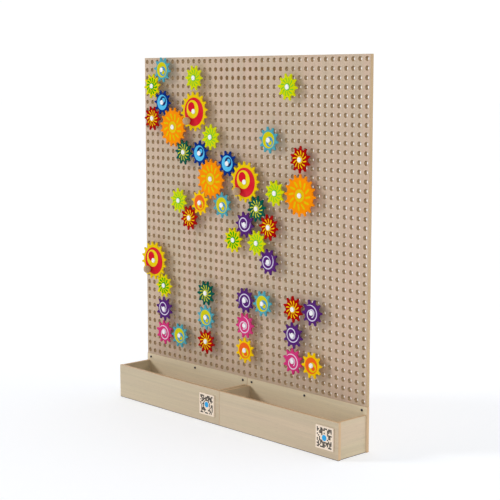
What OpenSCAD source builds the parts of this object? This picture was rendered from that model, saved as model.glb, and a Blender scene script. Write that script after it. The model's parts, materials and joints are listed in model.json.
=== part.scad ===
// Gear wall: a drilled plywood board on two open storage bins, with toy gears
// that turn on pegs plugged into the board. The floor is z = 0, the front is -Y,
// and the origin is on the floor under the centre of the object's box.

/* [Board] */
// Distance between neighbouring peg holes
pitch = 32; // [31.5:0.25:32.5]
// Diameter of a peg hole
hole_d = 17; // [15:0.25:18]
// Thickness of the board
board_t = 15; // [12:1:18]

/* [Bins] */
// Height of the bins' front and side panels
bin_h = 134; // [100:2:140]
// Height of the bins' back panels, which carry the board
back_h = 163; // [155:1:180]
// Depth of a bin in front of the board's front face
bin_depth = 144; // [110:2:180]
// Thickness of the bins' panels
panel_t = 12; // [10:1:13]
// How far the bins reach past the board at each side
bin_overhang = 3; // [1:1:8]
// Gap between the two bins
bin_gap = 1; // [0.5:0.5:3]
// How far the side panels stand in from the ends of the front and back panels
side_inset = 4; // [2:1:8]
// Height of the bins' bottom panels above the floor
bottom_lift = 6; // [3:1:12]

/* [Plaques] */
// Width and height of the square plaque on each bin
plaque_w = 82; // [60:1:100]
// Thickness of a plaque
plaque_t = 5; // [2:0.5:6]

/* [Gears] */
// Thickness of a gear
gear_t = 6; // [5:0.5:7]
// Distance from the board to the back of the gears
gear_standoff = 23; // [20:1:28]
// Radius to the tooth tips of a small gear
small_tip_r = 49.5; // [48.5:0.25:49.5]
// Radius to the tooth roots of a small gear
small_root_r = 36.5; // [35:0.25:36.5]
// Radius to the tooth tips of a big gear
big_tip_r = 77.5; // [76.5:0.25:77.5]
// Radius to the tooth roots of a big gear
big_root_r = 64.5; // [63:0.25:64.5]
// Width of a tooth at its root
tooth_root_w = 13.2; // [12:0.2:13.6]
// Width of a tooth at its rounded tip
tooth_tip_w = 7.6; // [6.5:0.1:8]

/* [Pegs] */
// Diameter of the journal that a gear turns on
journal_d = 10; // [9:0.5:12]
// Radial clearance between journal and gear
running_gap = 0.08; // [0.05:0.01:0.1]
// Diameter of the peg's stem between the board and the gear
stem_d = 16; // [14:0.5:20]
// Diameter of the peg's collar, which rests on the board
collar_d = 22; // [20:0.5:26]
// Diameter of the cap that keeps a gear on its peg
cap_d = 19; // [17:0.5:22]
// Thickness of the cap
cap_t = 4; // [3:0.5:6]

/* [Knobs] */
// Diameter of the ball knob on a crank gear
knob_d = 30; // [26:1:34]
// Distance from the crank gear's centre to its knob
knob_reach = 45.5; // [40:0.5:50]
// Diameter of the knob's glued shank
knob_shank_d = 8; // [6:0.5:10]

/* [Rear battens] */
// Thickness of the lower batten, behind the bins
rail_t = 18; // [15:1:24]
// Height of the lower batten
rail_h = 155; // [120:5:155]
// Width of the hanging batten behind the top of the board
hanger_w = 380; // [340:4:380]
// Height of the hanging batten
hanger_h = 64; // [56:2:64]

/* [Hidden] */
holes_per_side = 38;
board_w = holes_per_side * pitch;
bin_w = board_w / 2 + bin_overhang - bin_gap / 2;
wall_y = panel_t + rail_t;
face_y = (bin_depth + plaque_t - wall_y) / 2;
knob_angle = 229;

// A gear's place is its peg hole's column and row, counted from 0 at the top left,
// and the last number is the angle of its first tooth in degrees.
small_gears = [
    ["teal", [[4, 1, -7], [23, 9, -9], [15, 17, -17], [22, 28, 6], [12, 31, -14], [7, 34, 0]]],
    ["lime", [[10, 2, -1], [26, 3, -4], [13, 9, 16], [24, 15, 9], [7, 17, -11], [21, 21, 2]]],
    ["yellow", [[2, 3, 6], [17, 21, 9], [4, 28, 1]]],
    ["red", [[2, 7, -1], [28, 11, 16], [9, 19, 10], [23, 19, -5], [27, 28, -15], [12, 34, -10]]],
    ["green", [[8, 11, -5], [21, 17, 9], [12, 28, 3]]],
    ["blue", [[4, 5, -3], [11, 11, 17], [16, 12, -2]]],
    ["amber", [[11, 17, -14], [19, 34, -16], [30, 34, 3]]],
    ["purple", [[19, 19, -5], [23, 23, -4], [19, 28, 7], [30, 28, 3], [4, 31, -13], [27, 31, -10]]],
    ["pink", [[19, 31, 4], [4, 34, -12], [27, 34, -15]]],
];
big_gears = [["orange", [[6, 8, -10], [13, 14, -1], [28, 15, -2]]]];
crank_gears = [["crank", [[10, 6, 6], [19, 14, 3], [2, 25, 8]]]];
all_gears = concat(small_gears, big_gears, crank_gears);

function paint(name) =
    name == "teal" ? [0.35, 0.67, 0.73] :
    name == "lime" ? [0.84, 0.86, 0.05] :
    name == "yellow" ? [0.92, 0.84, 0.05] :
    name == "red" ? [0.71, 0.05, 0.02] :
    name == "green" ? [0.00, 0.35, 0.29] :
    name == "blue" ? [0.02, 0.20, 0.55] :
    name == "amber" ? [0.98, 0.80, 0.05] :
    name == "purple" ? [0.35, 0.16, 0.47] :
    name == "pink" ? [0.84, 0.24, 0.49] :
    name == "orange" ? [1.00, 0.58, 0.02] : [0.92, 0.80, 0.05];

plywood = [0.78, 0.67, 0.57];
birch = [0.77, 0.70, 0.58];

function gear_names(groups) = [
    for (group = groups)
        for (i = [1 : len(group[1])])
            str(group[0], "_gear_", i)
];

function hole_x(column) = (column - (holes_per_side - 1) / 2) * pitch;
function hole_z(row) = back_h + board_w - (row + 0.5) * pitch;

// Children drawn flat, with Z towards the viewer, stand up at a height above the floor
// with their z = 0 plane in the board's front face.
module upright(x = 0, z = 0) {
    translate([x, face_y, z])
        rotate([90, 0, 0])
            children();
}

module at_hole(place) {
    upright(hole_x(place[0]), hole_z(place[1]))
        children();
}

module at_both_sides() {
    children();
    mirror([1, 0, 0])
        children();
}

// ---- Board, dowels and rear battens ----

dowel_d = 6;
dowel_length = 40;
dowel_steps = [3, 8, 13, 18];
dowel_gap = 0.05;

module dowels(gap) {
    for (step = dowel_steps)
        at_both_sides()
            translate([step * pitch, face_y + panel_t / 2, back_h - dowel_length / 2 - gap])
                cylinder(d = dowel_d + 2 * gap, h = dowel_length + 2 * gap, $fn = 32);
}

batten_screw_x = [2 * pitch, 5 * pitch];
hanger_top_row = 1;
hanger_bottom_row = 2;
hanger_z = (hole_z(hanger_top_row) + hole_z(hanger_bottom_row)) / 2;
hanger_hole_columns = [14, 23];
hanger_hole_d = 6;
batten_screw_d = 4;
batten_screw_length = 24;

module batten_screw_places() {
    for (x = batten_screw_x)
        at_both_sides()
            translate([x, face_y + wall_y, hanger_z])
                rotate([90, 0, 0])
                    children();
}

// Countersunk screw whose head is flush with z = 0 and whose tip is at z = length
module countersunk_screw(d, length) {
    head_r = d;
    tip = d / 2;
    rotate_extrude($fn = 32)
        polygon([[0, 0], [head_r, 0], [d / 2, d / 2], [d / 2, length - tip], [0.3, length], [0, length]]);
}

module pegboard() {
    color(plywood)
        difference() {
            upright(0, back_h + board_w / 2)
                translate([0, 0, -board_t])
                    linear_extrude(board_t)
                        difference() {
                            square(board_w, center = true);
                            for (i = [0 : holes_per_side - 1])
                                for (j = [0 : holes_per_side - 1])
                                    translate([hole_x(i), hole_x(j)])
                                        circle(d = hole_d, $fn = 32);
                        }
            dowels(dowel_gap);
            batten_screw_places()
                countersunk_screw(batten_screw_d, batten_screw_length);
        }
}

module joining_dowels() {
    color(birch)
        dowels(0);
}

module rear_battens() {
    color(birch) {
        difference() {
            translate([-board_w / 2 + pitch / 2, face_y + panel_t, 0])
                cube([board_w - pitch, rail_t, rail_h]);
            bin_screw_places()
                cylinder(d = bin_screw_d, h = bin_screw_length, $fn = 32);
        }
        difference() {
            translate([-hanger_w / 2, face_y + board_t, hanger_z - hanger_h / 2])
                cube([hanger_w, wall_y - board_t, hanger_h]);
            for (column = hanger_hole_columns)
                for (row = [hanger_top_row, hanger_bottom_row])
                    at_hole([column, row])
                        translate([0, 0, -2 * wall_y])
                            cylinder(d = hanger_hole_d, h = 2 * wall_y, $fn = 32);
            batten_screw_places()
                countersunk_screw(batten_screw_d, batten_screw_length);
        }
    }
}

module batten_screws() {
    color("silver")
        batten_screw_places()
            countersunk_screw(batten_screw_d, batten_screw_length);
}

// ---- Pegs, caps and gears ----

plug_length = board_t - 1;
plug_gap = 0.05;
collar_t = 3;
end_play = 0.3;
cap_stub_d = 5;
cap_stub_length = 10;
shoulder_z = gear_standoff - end_play;
journal_end_z = gear_standoff + gear_t + end_play;

module peg() {
    plug_r = hole_d / 2 - plug_gap;
    stub_r = cap_stub_d / 2 + plug_gap;
    rotate_extrude($fn = 48)
        polygon([
            [0, -plug_length],
            [plug_r - 1, -plug_length],
            [plug_r, 1 - plug_length],
            [plug_r, 0],
            [collar_d / 2, 0],
            [collar_d / 2, collar_t],
            [stem_d / 2, collar_t],
            [stem_d / 2, shoulder_z],
            [journal_d / 2, shoulder_z],
            [journal_d / 2, journal_end_z],
            [stub_r, journal_end_z],
            [stub_r, journal_end_z - cap_stub_length - 1],
            [0, journal_end_z - cap_stub_length - 1],
        ]);
}

module cap() {
    edge = 1;
    top_z = journal_end_z + cap_t;
    rotate_extrude($fn = 48)
        polygon([
            [0, journal_end_z - cap_stub_length],
            [cap_stub_d / 2, journal_end_z - cap_stub_length],
            [cap_stub_d / 2, journal_end_z],
            [cap_d / 2, journal_end_z],
            [cap_d / 2, top_z - 2 * edge],
            [cap_d / 2 - edge, top_z - edge / 2],
            [cap_d / 2 - 3 * edge, top_z],
            [0, top_z],
        ]);
}

module axle_pegs() {
    color("white")
        for (group = all_gears)
            for (place = group[1])
                at_hole(place)
                    peg();
}

module hub_caps() {
    color("white")
        for (group = all_gears)
            for (place = group[1])
                at_hole(place)
                    cap();
}

// One tooth along X: straight flanks that run from the root circle into a round tip
module tooth(root_r, tip_r) {
    tip_round = tooth_tip_w / 2;
    flank_round = tip_round - 0.15;
    round_x = tip_r - tip_round;
    foot_x = root_r - tooth_root_w / 4;
    flank = atan2(tooth_root_w / 2, round_x - foot_x)
        - asin(flank_round / norm([round_x - foot_x, tooth_root_w / 2]));
    flank_end = [round_x + flank_round * sin(flank), flank_round * cos(flank)];
    polygon([
        [foot_x, -tooth_root_w / 2],
        [flank_end[0], -flank_end[1]],
        [flank_end[0], flank_end[1]],
        [foot_x, tooth_root_w / 2],
    ]);
    translate([round_x, 0])
        circle(r = tip_round, $fn = 32);
}

module gear_blank(teeth, root_r, tip_r) {
    difference() {
        union() {
            circle(r = root_r, $fn = 96);
            for (i = [0 : teeth - 1])
                rotate(i * 360 / teeth)
                    tooth(root_r, tip_r);
        }
        circle(d = journal_d + 2 * running_gap, $fn = 48);
    }
}

module small_gear(place) {
    at_hole(place)
        translate([0, 0, gear_standoff])
            linear_extrude(gear_t)
                rotate(place[2])
                    gear_blank(10, small_root_r, small_tip_r);
}

module big_gear(place) {
    at_hole(place)
        translate([0, 0, gear_standoff])
            linear_extrude(gear_t)
                rotate(place[2])
                    gear_blank(16, big_root_r, big_tip_r);
}

shank_gap = 0.05;

module at_knob(place) {
    at_hole(place)
        rotate(place[2] + knob_angle)
            translate([knob_reach, 0, gear_standoff])
                children();
}

module crank_gear(place) {
    difference() {
        big_gear(place);
        at_knob(place)
            translate([0, 0, -1])
                cylinder(d = knob_shank_d + 2 * shank_gap, h = gear_t + 2, $fn = 32);
    }
}

module crank_knob(place) {
    flat_depth = 1;
    color([0.73, 0.61, 0.47])
        at_knob(place) {
            difference() {
                translate([0, 0, gear_t + knob_d / 2 - flat_depth])
                    sphere(d = knob_d, $fn = 64);
                translate([-knob_d, -knob_d, gear_t - knob_d])
                    cube([2 * knob_d, 2 * knob_d, knob_d]);
            }
            translate([0, 0, 0.5])
                cylinder(d = knob_shank_d, h = gear_t, $fn = 32);
        }
}

// ---- Bins ----

bin_screw_d = 5;
bin_screw_head_d = 9;
bin_screw_head_t = 3;
bin_screw_length = 27;
bin_screw_drop = 14;
bin_screw_x = [24.5, 306, 587];

module bin_screw_places() {
    for (x = bin_screw_x)
        at_both_sides()
            translate([x, face_y, back_h - bin_screw_drop])
                rotate([-90, 0, 0])
                    children();
}

module bin_panel(x, y, z, size) {
    at_both_sides()
        translate([x, y, z])
            cube(size);
}

module bin_fronts() {
    color(birch)
        bin_panel(bin_gap / 2, face_y - bin_depth, 0, [bin_w, panel_t, bin_h]);
}

module bin_backs() {
    color(birch)
        difference() {
            bin_panel(bin_gap / 2, face_y, 0, [bin_w, panel_t, back_h]);
            bin_screw_places()
                cylinder(d = bin_screw_d, h = bin_screw_length, $fn = 32);
            dowels(dowel_gap);
        }
}

module bin_sides() {
    size = [panel_t, bin_depth - panel_t, bin_h];
    y = face_y - bin_depth + panel_t;
    color(birch) {
        bin_panel(bin_gap / 2 + side_inset, y, 0, size);
        bin_panel(bin_gap / 2 + bin_w - side_inset - panel_t, y, 0, size);
    }
}

module bin_bottoms() {
    inner_x = side_inset + panel_t;
    size = [bin_w - 2 * inner_x, bin_depth - panel_t, panel_t];
    color(birch)
        bin_panel(bin_gap / 2 + inner_x, face_y - bin_depth + panel_t, bottom_lift, size);
}

module bin_screws() {
    color([0.2, 0.2, 0.22])
        bin_screw_places() {
            cylinder(d = bin_screw_d, h = bin_screw_length, $fn = 32);
            translate([0, 0, -bin_screw_head_t])
                cylinder(d1 = bin_screw_head_d - 3, d2 = bin_screw_head_d, h = bin_screw_head_t, $fn = 32);
        }
}

plaque_x = [-67, 548];
plaque_z = 70;

module code_plaques() {
    color([0.93, 0.90, 0.84])
        for (x = plaque_x)
            translate([x - plaque_w / 2, face_y - bin_depth - plaque_t, plaque_z - plaque_w / 2])
                cube([plaque_w, plaque_t, plaque_w]);
}

pegboard();
axle_pegs();
hub_caps();

for (group = small_gears)
    for (i = [0 : len(group[1]) - 1])
        color(paint(group[0])) small_gear(group[1][i]);
for (group = big_gears)
    for (i = [0 : len(group[1]) - 1])
        color(paint(group[0])) big_gear(group[1][i]);
for (group = crank_gears)
    for (i = [0 : len(group[1]) - 1])
        color(paint(group[0])) crank_gear(group[1][i]);
for (i = [0 : 2])
    crank_knob(crank_gears[0][1][i]);

bin_fronts();
bin_backs();
bin_sides();
bin_bottoms();
code_plaques();
bin_screws();
rear_battens();
batten_screws();
joining_dowels();
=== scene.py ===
"""Looks of the gear wall: a drilled plywood board with printed gears on white pegs, above two bins."""
import json
import math
import random

import bmesh
import bpy
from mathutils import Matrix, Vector

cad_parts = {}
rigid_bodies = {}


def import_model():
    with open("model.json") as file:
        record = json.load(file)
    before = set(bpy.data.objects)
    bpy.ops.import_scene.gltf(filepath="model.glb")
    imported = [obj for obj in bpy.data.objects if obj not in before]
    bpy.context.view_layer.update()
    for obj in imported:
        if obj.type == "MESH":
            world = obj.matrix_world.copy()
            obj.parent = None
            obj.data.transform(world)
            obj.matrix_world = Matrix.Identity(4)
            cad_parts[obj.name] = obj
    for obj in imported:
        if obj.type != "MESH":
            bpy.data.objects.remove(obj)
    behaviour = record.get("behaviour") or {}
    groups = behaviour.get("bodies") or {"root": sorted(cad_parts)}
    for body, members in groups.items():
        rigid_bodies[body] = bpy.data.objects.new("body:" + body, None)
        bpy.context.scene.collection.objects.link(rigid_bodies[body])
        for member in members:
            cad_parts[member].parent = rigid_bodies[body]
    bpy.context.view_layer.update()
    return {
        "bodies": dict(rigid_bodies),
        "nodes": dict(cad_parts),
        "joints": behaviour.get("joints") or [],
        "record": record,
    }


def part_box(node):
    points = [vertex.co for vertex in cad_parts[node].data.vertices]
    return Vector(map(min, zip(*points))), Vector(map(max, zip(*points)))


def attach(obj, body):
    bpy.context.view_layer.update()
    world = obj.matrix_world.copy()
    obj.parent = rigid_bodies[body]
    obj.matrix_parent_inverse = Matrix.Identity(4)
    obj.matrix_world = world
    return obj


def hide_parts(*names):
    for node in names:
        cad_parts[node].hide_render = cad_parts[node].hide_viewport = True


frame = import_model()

MM = 0.001
FULL = 2 * math.pi

# ---- Sizes that the frame's boxes don't say, in metres ----

HOLES_PER_SIDE = 38
HOLE_CHAMFER = 0.5 * MM
HOLE_SEGMENTS = 20
EASE = 0.7 * MM

SMALL_TEETH, SMALL_ROOT_R, SMALL_TIP_R = 10, 36.5 * MM, 49.5 * MM
BIG_TEETH, BIG_ROOT_R, BIG_TIP_R = 16, 64.5 * MM, 77.5 * MM
TOOTH_ROOT_W, TOOTH_TIP_W = 13.2 * MM, 7.6 * MM
GEAR_BORE_R = 5.08 * MM
GEAR_ROUNDING = 0.9 * MM
END_PLAY = 0.3 * MM

PLUG_DEPTH = 14 * MM
COLLAR_R = 11 * MM
STEM_R = 8 * MM
JOURNAL_R = 5 * MM
CAP_R, CAP_T = 9.5 * MM, 4 * MM
PRINT_T = 0.3 * MM
PRINT_HUB_R = CAP_R + 0.3 * MM
# Height of the dark strip at the bins' panel feet, painted shade along the floor
FOOT_STRIP_H = 2 * MM

# How far the middle of a rounded edge lies inside its corner, as a share of its radius
ROUND_MIDDLE = 1 - math.sqrt(0.5)

# ---- Sizes read from the frame ----

BOARD_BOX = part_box("pegboard")
PITCH = (BOARD_BOX[1].x - BOARD_BOX[0].x) / HOLES_PER_SIDE
FACE_Y = BOARD_BOX[0].y
BOARD_FOOT_Z = BOARD_BOX[0].z
PEG_HOLE = next(mount for mount in frame["record"]["mounts"] if mount["name"] == "peg_hole")
HOLE_R = PEG_HOLE["dims"]["r_mm"] * MM
STANDOFF = FACE_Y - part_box("teal_gear_1")[1].y
GEAR_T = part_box("teal_gear_1")[1].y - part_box("teal_gear_1")[0].y
SHOULDER = STANDOFF - END_PLAY
JOURNAL_END = STANDOFF + GEAR_T + END_PLAY


# ---- Reading the frame ----

def solids(node):
    """Lowest and highest corner of each separate solid in a CAD node, from left to right."""
    work = bmesh.new()
    work.from_mesh(frame["nodes"][node].data)
    bmesh.ops.remove_doubles(work, verts=work.verts, dist=1e-6)
    unseen = set(work.verts)
    boxes = []
    while unseen:
        edge_of_search = [unseen.pop()]
        members = []
        while edge_of_search:
            vertex = edge_of_search.pop()
            members.append(vertex.co.copy())
            for edge in vertex.link_edges:
                other = edge.other_vert(vertex)
                if other in unseen:
                    unseen.remove(other)
                    edge_of_search.append(other)
        lowest = Vector(min(co[k] for co in members) for k in range(3))
        highest = Vector(max(co[k] for co in members) for k in range(3))
        boxes.append((lowest, highest))
    work.free()
    return sorted(boxes, key=lambda box: (round(box[0].x, 4), round(box[0].z, 4)))


def joint_place(name):
    """A point on the joint's axis."""
    for joint in frame["joints"]:
        if joint["name"] == name:
            return Vector(joint["pos_m"])
    raise ValueError(name)


def middle(low, high, y):
    """The middle of a box as it is seen from the front, at depth y."""
    return Vector(((low.x + high.x) / 2, y, (low.z + high.z) / 2))


def add_object(name, data):
    made = bpy.data.objects.new(name, data)
    bpy.context.scene.collection.objects.link(made)
    return made


# ---- Mesh building ----

class Shape:
    """Points and faces of one piece, with a material number for each face and a wear value for each point."""

    def __init__(self):
        self.points = []
        self.wear = []
        self.faces = []
        self.paints = []

    def ring(self, points, wear=0.0):
        start = len(self.points)
        self.points += [tuple(p) for p in points]
        self.wear += [wear] * len(points)
        return list(range(start, len(self.points)))

    def face(self, corners, paint=0):
        self.faces.append(tuple(corners))
        self.paints.append(paint)

    def bridge(self, a, b, paint=0):
        """Faces between two rings of equally many points."""
        for i in range(len(a)):
            j = (i + 1) % len(a)
            self.face((a[i], a[j], b[j], b[i]), paint)

    def tip(self, ring, point):
        top = self.ring([point])[0]
        for i in range(len(ring)):
            self.face((ring[i], ring[(i + 1) % len(ring)], top))

    def build(self, name, materials, crease=35):
        mesh = bpy.data.meshes.new(name)
        mesh.from_pydata(self.points, [], self.faces)
        mesh.polygons.foreach_set("material_index", self.paints)
        mesh.attributes.new("wear", "FLOAT", "POINT").data.foreach_set("value", self.wear)
        for material in materials:
            mesh.materials.append(material)
        work = bmesh.new()
        work.from_mesh(mesh)
        bmesh.ops.recalc_face_normals(work, faces=work.faces)
        work.to_mesh(mesh)
        work.free()
        mesh.shade_smooth()
        mesh.set_sharp_from_angle(angle=math.radians(crease))
        return add_object(name, mesh)


def stand_in(piece, body, slot_name, *nodes):
    """The piece rides on the body and is shown instead of the CAD nodes."""
    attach(piece, body)
    if nodes:
        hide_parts(*nodes)


def circle(centre, y, radius, segments):
    """Points of a circle in the board's plane. The radius may be a function of the angle."""
    points = []
    for i in range(segments):
        angle = FULL * i / segments
        r = radius(angle) if callable(radius) else radius
        points.append((centre.x + r * math.cos(angle), y, centre.z + r * math.sin(angle)))
    return points


def turned(shape, centre, profile, segments, out=-1):
    """A turned piece whose axis leaves the board's plane at centre.

    The profile's rows are radius, distance along the axis, and wear. A radius may be a function of the angle,
    and a radius of 0 closes the piece in a tip. out is -1 for a piece that points to the front and 1 for one
    that points to the back."""
    previous = first_tip = None
    for radius, distance, wear in profile:
        y = centre.y + out * distance
        if radius == 0 and previous is None:
            first_tip = (centre.x, y, centre.z)
        elif radius == 0:
            shape.tip(previous, (centre.x, y, centre.z))
        else:
            current = shape.ring(circle(centre, y, radius, segments), wear)
            if previous is not None:
                shape.bridge(previous, current)
            elif first_tip is not None:
                shape.tip(current, first_tip)
            previous = current


def panel(shape, box, thin, ease=EASE, face_paint=0, edge_paint=1):
    """A flat panel with eased edges. thin is its thickness axis: 0, 1 or 2."""
    low, high = box
    wide = [k for k in range(3) if k != thin]
    corner_steps = 3

    def outline(inset, level):
        points = []
        centre_low = [low[k] + ease for k in wide]
        centre_high = [high[k] - ease for k in wide]
        corners = [(centre_high[0], centre_high[1], 0), (centre_low[0], centre_high[1], 1),
                   (centre_low[0], centre_low[1], 2), (centre_high[0], centre_low[1], 3)]
        for cx, cy, quarter in corners:
            for step in range(corner_steps):
                angle = math.pi / 2 * (quarter + step / (corner_steps - 1))
                spot = [0.0, 0.0, 0.0]
                spot[wide[0]] = cx + (ease - inset) * math.cos(angle)
                spot[wide[1]] = cy + (ease - inset) * math.sin(angle)
                spot[thin] = level
                points.append(spot)
        return points

    soft = ease * ROUND_MIDDLE
    rings = [
        shape.ring(outline(0.98 * ease, low[thin]), 0.0),
        shape.ring(outline(soft, low[thin] + soft), 1.0),
        shape.ring(outline(0.0, low[thin] + ease), 0.3),
        shape.ring(outline(0.0, high[thin] - ease), 0.3),
        shape.ring(outline(soft, high[thin] - soft), 1.0),
        shape.ring(outline(0.98 * ease, high[thin]), 0.0),
    ]
    for a, b in zip(rings, rings[1:]):
        shape.bridge(a, b, edge_paint)
    shape.face(reversed(rings[0]), face_paint)
    shape.face(rings[-1], face_paint)


def prism(shape, outline, back_y, front_y, paint=0):
    """A thin slab in the board's plane. The outline is a list of x and z."""
    back = shape.ring([(x, back_y, z) for x, z in outline])
    front = shape.ring([(x, front_y, z) for x, z in outline])
    shape.bridge(back, front, paint)
    shape.face(back, paint)
    shape.face(front, paint)


# ---- Materials ----

def srgb(red, green, blue):
    """A colour from 0 to 255 in each channel, as the shader's linear values."""
    linear = []
    for channel in (red, green, blue):
        c = channel / 255
        linear.append(c / 12.92 if c <= 0.04045 else ((c + 0.055) / 1.055) ** 2.4)
    return (*linear, 1.0)


def shade(colour, factor):
    return (*[min(1.0, c * factor) for c in colour[:3]], 1.0)


class Nodes:
    """A node tree and short ways to add to it."""

    def __init__(self, tree):
        self.tree = tree
        self.tree.nodes.clear()

    def add(self, kind, inputs=None, **settings):
        made = self.tree.nodes.new(kind)
        for key, value in settings.items():
            setattr(made, key, value)
        for key, value in (inputs or {}).items():
            self.put(made.inputs[key], value)
        return made

    def put(self, socket, value):
        if isinstance(value, bpy.types.NodeSocket):
            self.tree.links.new(value, socket)
        elif socket.type == "VECTOR":
            socket.default_value = value[:3]
        else:
            socket.default_value = value

    def place(self, scale, shift=(0, 0, 0), turn=(0, 0, 0)):
        """The piece's own coordinates, shifted, turned and scaled by three numbers or by one."""
        if not isinstance(scale, tuple):
            scale = (scale,) * 3
        coordinates = self.add("ShaderNodeTexCoord").outputs["Object"]
        inputs = {"Vector": coordinates, "Scale": scale, "Location": shift, "Rotation": turn}
        return self.add("ShaderNodeMapping", inputs).outputs[0]

    def noise(self, vector, detail=3.0, roughness=0.55, distortion=0.0):
        inputs = {"Vector": vector, "Scale": 1.0, "Detail": detail,
                  "Roughness": roughness, "Distortion": distortion}
        return self.add("ShaderNodeTexNoise", inputs).outputs["Fac"]

    def math(self, operation, a, b=0.0):
        return self.add("ShaderNodeMath", {0: a, 1: b}, operation=operation).outputs[0]

    def range(self, value, low, high, to_low=0.0, to_high=1.0):
        inputs = {"Value": value, "From Min": low, "From Max": high, "To Min": to_low, "To Max": to_high}
        return self.add("ShaderNodeMapRange", inputs).outputs["Result"]

    def mix(self, factor, a, b):
        """A blend of two colours. Inputs 6 and 7 and output 2 are the mix node's colour sockets."""
        made = self.add("ShaderNodeMix", data_type="RGBA")
        self.put(made.inputs["Factor"], factor)
        self.put(made.inputs[6], a)
        self.put(made.inputs[7], b)
        return made.outputs[2]

    def tint(self, colour, value, low=0.9, high=1.1):
        """The colour made darker and lighter by a value from 0 to 1."""
        grey = self.range(value, 0.2, 0.8, low, high)
        scaled = self.add("ShaderNodeVectorMath", {0: colour, 1: grey}, operation="MULTIPLY")
        return scaled.outputs[0]

    def bump(self, height, distance, strength):
        inputs = {"Height": height, "Distance": distance, "Strength": strength}
        return self.add("ShaderNodeBump", inputs).outputs[0]

    def attribute(self, name):
        return self.add("ShaderNodeAttribute", attribute_name=name).outputs["Fac"]


class Surface(Nodes):
    """A material made of one shader."""

    def __init__(self, name):
        self.material = bpy.data.materials.new(name)
        self.material.use_nodes = True
        super().__init__(self.material.node_tree)
        self.shader = self.add("ShaderNodeBsdfPrincipled")
        self.add("ShaderNodeOutputMaterial", {"Surface": self.shader.outputs[0]})

    def set(self, **values):
        for key, value in values.items():
            self.put(self.shader.inputs[key.replace("_", " ")], value)


def along(axis, stretched, across):
    """A scale that is small along the grain's axis and large across it."""
    scale = [across] * 3
    scale[axis] = stretched
    return tuple(scale)


def veneer(name, main, warm, cool, axis, band_scale, streak):
    """Birch-like face veneer with soft bands of warm and cool tone, fine fibres and short pores."""
    n = Surface(name)
    bands = n.noise(n.place(along(axis, band_scale * 0.03, band_scale)), detail=2.5, distortion=0.4)
    drift = n.noise(n.place(along(axis, 0.5, 4.0), shift=(3.1, 1.7, 5.3)), detail=2.0)
    fibre = n.noise(n.place(along(axis, 5.0, 420.0)), detail=4.0, roughness=0.6)
    ripple = n.noise(n.place(along(axis, 1.6, 70.0), shift=(7, 2, 4)), detail=3.0, distortion=0.6)
    streaks = n.noise(n.place(along(axis, 0.9, 34.0), shift=(4, 9, 2)), detail=2.0, distortion=0.8)
    pores = n.noise(n.place(along(axis, 34.0, 1500.0), shift=(1, 8, 3)), detail=1.0)
    colour = n.mix(n.range(bands, 0.38, 0.62), cool, warm)
    colour = n.mix(n.range(drift, 0.3, 0.7, 0.15, 0.75), colour, main)
    colour = n.tint(colour, streaks, 1 - streak, 1 + streak)
    colour = n.tint(colour, ripple, 0.94, 1.06)
    colour = n.tint(colour, fibre, 0.94, 1.06)
    pore_mask = n.range(pores, 0.64, 0.72)
    colour = n.mix(n.math("MULTIPLY", pore_mask, 0.35), colour, shade(main, 0.55))
    worn = n.math("MULTIPLY", n.attribute("wear"), n.range(drift, 0.35, 0.65, 0.2, 0.6))
    colour = n.mix(worn, colour, shade(main, 1.12))
    height = n.math("SUBTRACT", fibre, n.math("MULTIPLY", pore_mask, 0.8))
    n.set(Base_Color=colour, Roughness=n.range(ripple, 0.2, 0.8, 0.5, 0.62),
          Normal=n.bump(height, 0.00012, 0.5), Specular_IOR_Level=0.35)
    return n.material


def ply_edge(name, light, dark):
    """The board's cut wood: glued layers through its thickness, fuzzy end grain, and painted shade on the
    upper half of each hole's wall.
    """
    n = Surface(name)
    depth = n.add("ShaderNodeSeparateXYZ", {0: n.place(1)}).outputs["Y"]
    wobble = n.noise(n.place(40), detail=2.0)
    layers = n.math("ADD", n.math("MULTIPLY", depth, LAYERS_PER_METRE), n.math("MULTIPLY", wobble, 0.12))
    layer = n.math("PINGPONG", layers, 1.0)
    grain = n.noise(n.place(700), detail=3.0)
    streak = n.noise(n.place(along(1, 900.0, 60.0)), detail=2.0)
    colour = n.mix(n.range(layer, 0.42, 0.58), light, dark)
    glue = n.range(n.math("ABSOLUTE", n.math("SUBTRACT", layer, 0.5)), 0.0, 0.07, 0.55, 0.0)
    colour = n.mix(glue, colour, shade(dark, 0.55))
    colour = n.tint(colour, grain, 0.9, 1.1)
    colour = n.tint(colour, streak, 0.95, 1.05)
    # Painted shade: the upper half of each hole's wall is mixed towards a much darker wood
    colour = n.mix(n.math("MULTIPLY", n.attribute("burnt"), 0.6), colour, shade(dark, 0.4))
    n.set(Base_Color=colour, Roughness=0.7, Normal=n.bump(grain, 0.0002, 0.5), Specular_IOR_Level=0.25)
    return n.material


def edge_band(name, colour):
    """Warm edging strip with a fine straight grain and rubbed corners."""
    n = Surface(name)
    grain = n.noise(n.place(160), detail=5.0, roughness=0.7)
    cloud = n.noise(n.place(14), detail=2.0)
    tone = n.tint(colour, grain, 0.93, 1.07)
    tone = n.tint(tone, cloud, 0.94, 1.05)
    rubbed = n.math("MULTIPLY", n.attribute("wear"), n.range(cloud, 0.4, 0.7, 0.1, 0.5))
    tone = n.mix(rubbed, tone, shade(colour, 1.3))
    n.set(Base_Color=tone, Roughness=n.range(cloud, 0.3, 0.7, 0.45, 0.6),
          Normal=n.bump(grain, 0.0001, 0.4), Specular_IOR_Level=0.35)
    return n.material


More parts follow.
